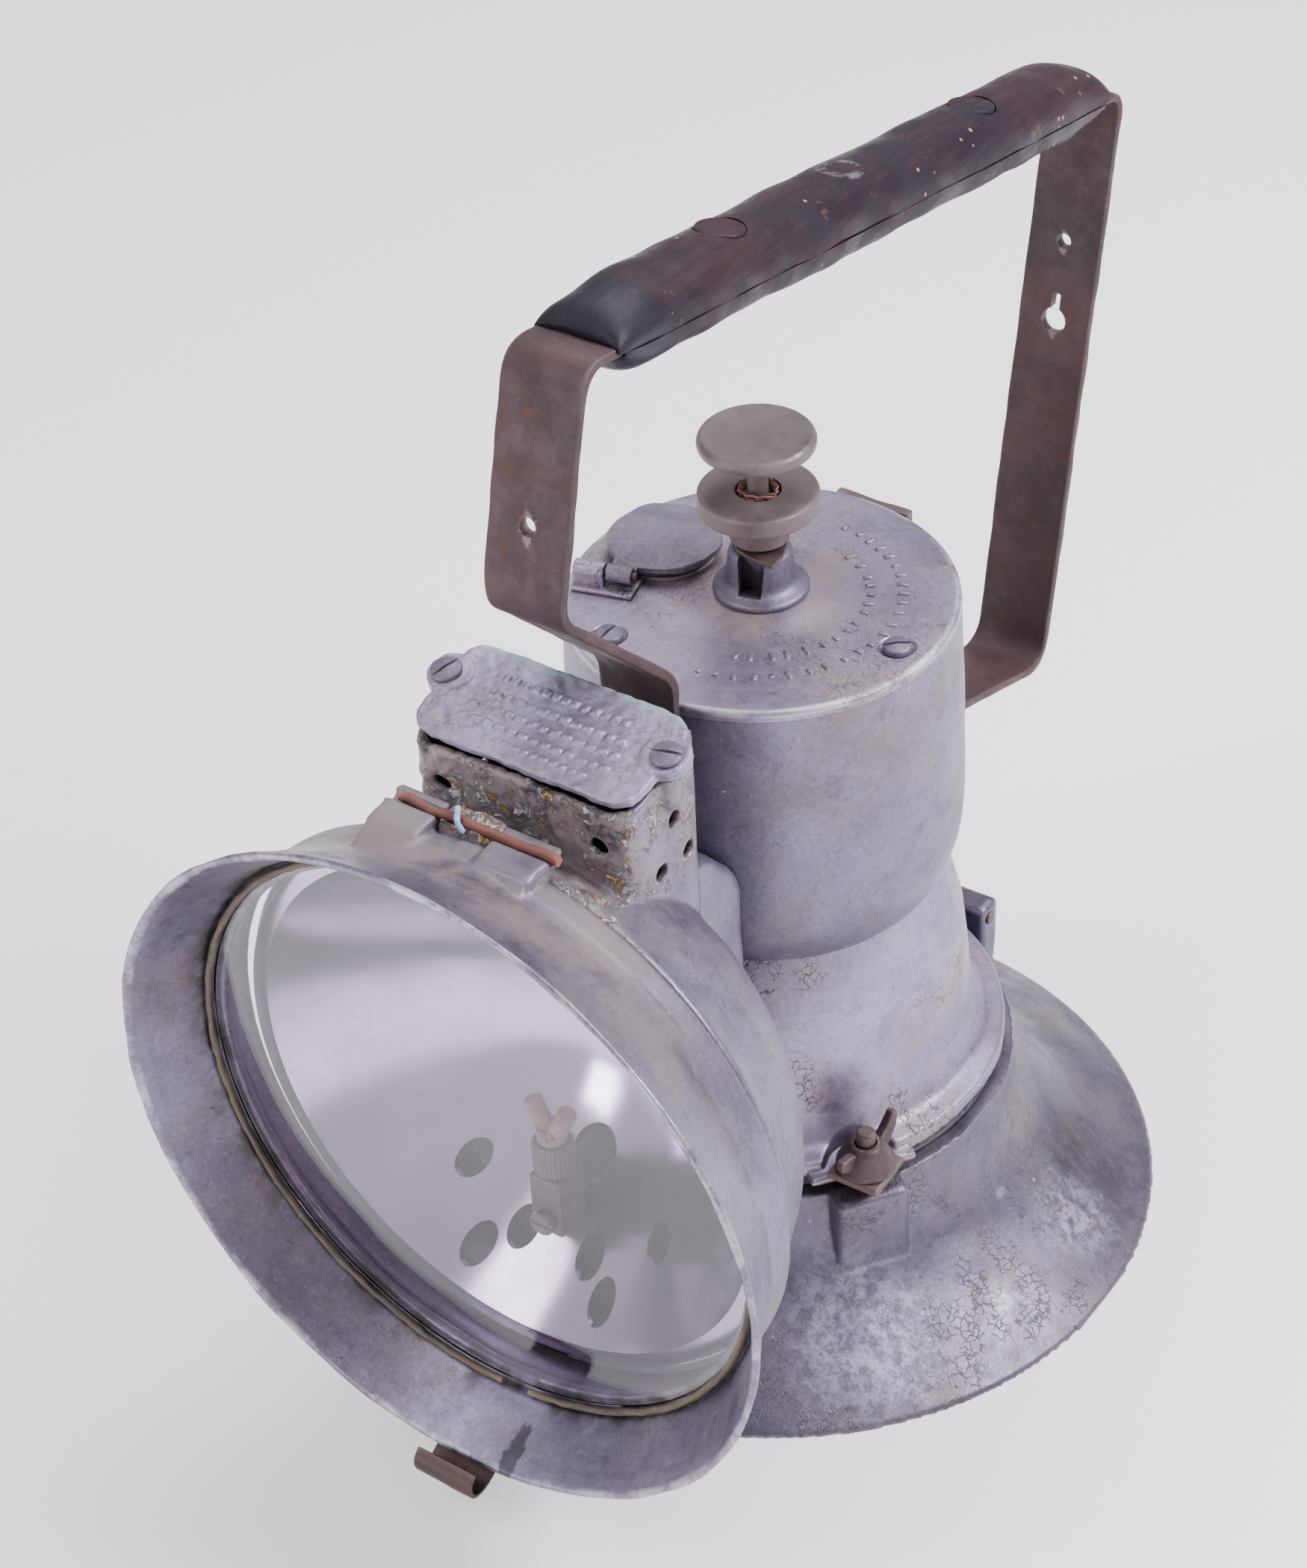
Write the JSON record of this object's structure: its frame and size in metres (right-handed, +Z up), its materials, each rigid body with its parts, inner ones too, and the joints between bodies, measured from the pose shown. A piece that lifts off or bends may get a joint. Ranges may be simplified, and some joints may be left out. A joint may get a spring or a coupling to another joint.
{
  "type": "carbide hand lamp",
  "caption": "Carbide hand lamp: a water tank over a gas generator on a bell-shaped base, a hooded reflector with a hinged glass door, a chimney, and a strap handle with a wooden grip.",
  "frame": {"origin": "on the ground under the middle of the whole lamp, a little behind the tank's axis", "axes": "+Z up along the tank's axis, -Y towards the beam, +X to the right when the lamp is seen from the front"},
  "size_m": [0.2426, 0.3676, 0.3564],
  "materials": {
    "cast_aluminium": "dull grey cast aluminium with stains, scratches and casting cracks",
    "dark_aluminium": "darker, rougher oxidised aluminium",
    "bright_metal": "polished pale reflector metal",
    "brass": "dull brown-grey tarnished brass",
    "copper": "brown tarnished copper alloy",
    "steel": "rusted steel",
    "strap_steel": "old enamel over rusty strap steel",
    "rusty_wire": "orange-brown rusty wire",
    "sealing": "old dark gasket and felt",
    "burner_ceramic": "pinkish steatite burner tip",
    "grip_wood": "dark varnished wood, worn at the edges",
    "lens_glass": "clear flat glass"
  },
  "bodies": {
    "frame": {"base_shell": "cast_aluminium", "carbide_pot": "dark_aluminium", "base_gasket": "sealing", "generator_body": "cast_aluminium", "rear_hinge_pin": "steel", "clamp_stud_right": "steel", "clamp_stud_left": "steel", "water_tank": "cast_aluminium", "tank_lid": "cast_aluminium", "lid_screw_1": "dark_aluminium", "lid_screw_2": "dark_aluminium", "lid_screw_3": "dark_aluminium", "valve_boss": "dark_aluminium", "pointer_plate": "steel", "water_tube": "brass", "gas_filter": "sealing", "filler_bracket": "bright_metal", "filler_pin": "steel", "reflector_housing": "cast_aluminium", "reflector_dish": "bright_metal", "hinge_wire": "rusty_wire", "chimney_cover": "dark_aluminium", "cover_screw_1": "dark_aluminium", "cover_screw_2": "dark_aluminium", "gas_pipe": "brass", "burner_arm": "brass", "burner_body": "brass", "burner_tip": "burner_ceramic", "arm_plug": "brass", "latch_pin": "steel", "handle_strap": "strap_steel", "strap_rivet_1": "steel", "strap_rivet_2": "steel", "strap_rivet_3": "steel", "strap_rivet_4": "steel", "grip_upper": "grip_wood", "grip_lower": "grip_wood", "grip_plug_1": "grip_wood", "grip_plug_2": "grip_wood"},
    "door": {"door_bezel": "cast_aluminium", "lens_glass": "lens_glass", "lens_ring": "rusty_wire"},
    "latch": {"latch_clip": "copper"},
    "filler": {"filler_flap": "brass", "filler_seal": "sealing"},
    "knob": {"valve_knob": "brass"},
    "gland": {"gland_nut": "brass"},
    "plate_right": {"clamp_plate_right": "steel"},
    "plate_left": {"clamp_plate_left": "steel"},
    "nut_right": {"wing_nut_right": "brass"},
    "nut_left": {"wing_nut_left": "brass"}
  },
  "joints": [
    {"name": "door_hinge", "type": "hinge", "parent": "frame", "child": "door", "pos_m": [0, -0.1347, 0.2272], "axis": [-1, 0, 0], "range_deg": [0, 75]},
    {"name": "latch_hinge", "type": "hinge", "parent": "frame", "child": "latch", "pos_m": [0, -0.1157, 0.039], "axis": [1, 0, 0], "range_deg": [0, 10], "stiffness_Nm_per_rad": 0.5},
    {"name": "filler_hinge", "type": "hinge", "parent": "frame", "child": "filler", "pos_m": [-0.037, -0.0233, 0.231], "axis": [0.9659, 0.2588, 0], "range_deg": [0, 100]},
    {"name": "valve_spin", "type": "hinge", "parent": "frame", "child": "knob", "pos_m": [0, -0.0037, 0.278], "axis": [0, 0, 1], "continuous": true},
    {"name": "gland_spin", "type": "hinge", "parent": "frame", "child": "gland", "pos_m": [0, -0.0037, 0.258], "axis": [0, 0, 1], "continuous": true},
    {"name": "plate_right_turn", "type": "hinge", "parent": "frame", "child": "plate_right", "pos_m": [0.06229, -0.04896, 0.0646], "axis": [0, 0, 1], "range_deg": [-90, 90]},
    {"name": "nut_right_turn", "type": "hinge", "parent": "frame", "child": "nut_right", "pos_m": [0.06229, -0.04896, 0.0646], "axis": [0, 0, 1], "continuous": true},
    {"name": "plate_left_turn", "type": "hinge", "parent": "frame", "child": "plate_left", "pos_m": [-0.06229, -0.04896, 0.0646], "axis": [0, 0, 1], "range_deg": [-90, 90]},
    {"name": "nut_left_turn", "type": "hinge", "parent": "frame", "child": "nut_left", "pos_m": [-0.06229, -0.04896, 0.0646], "axis": [0, 0, 1], "continuous": true}
  ]
}
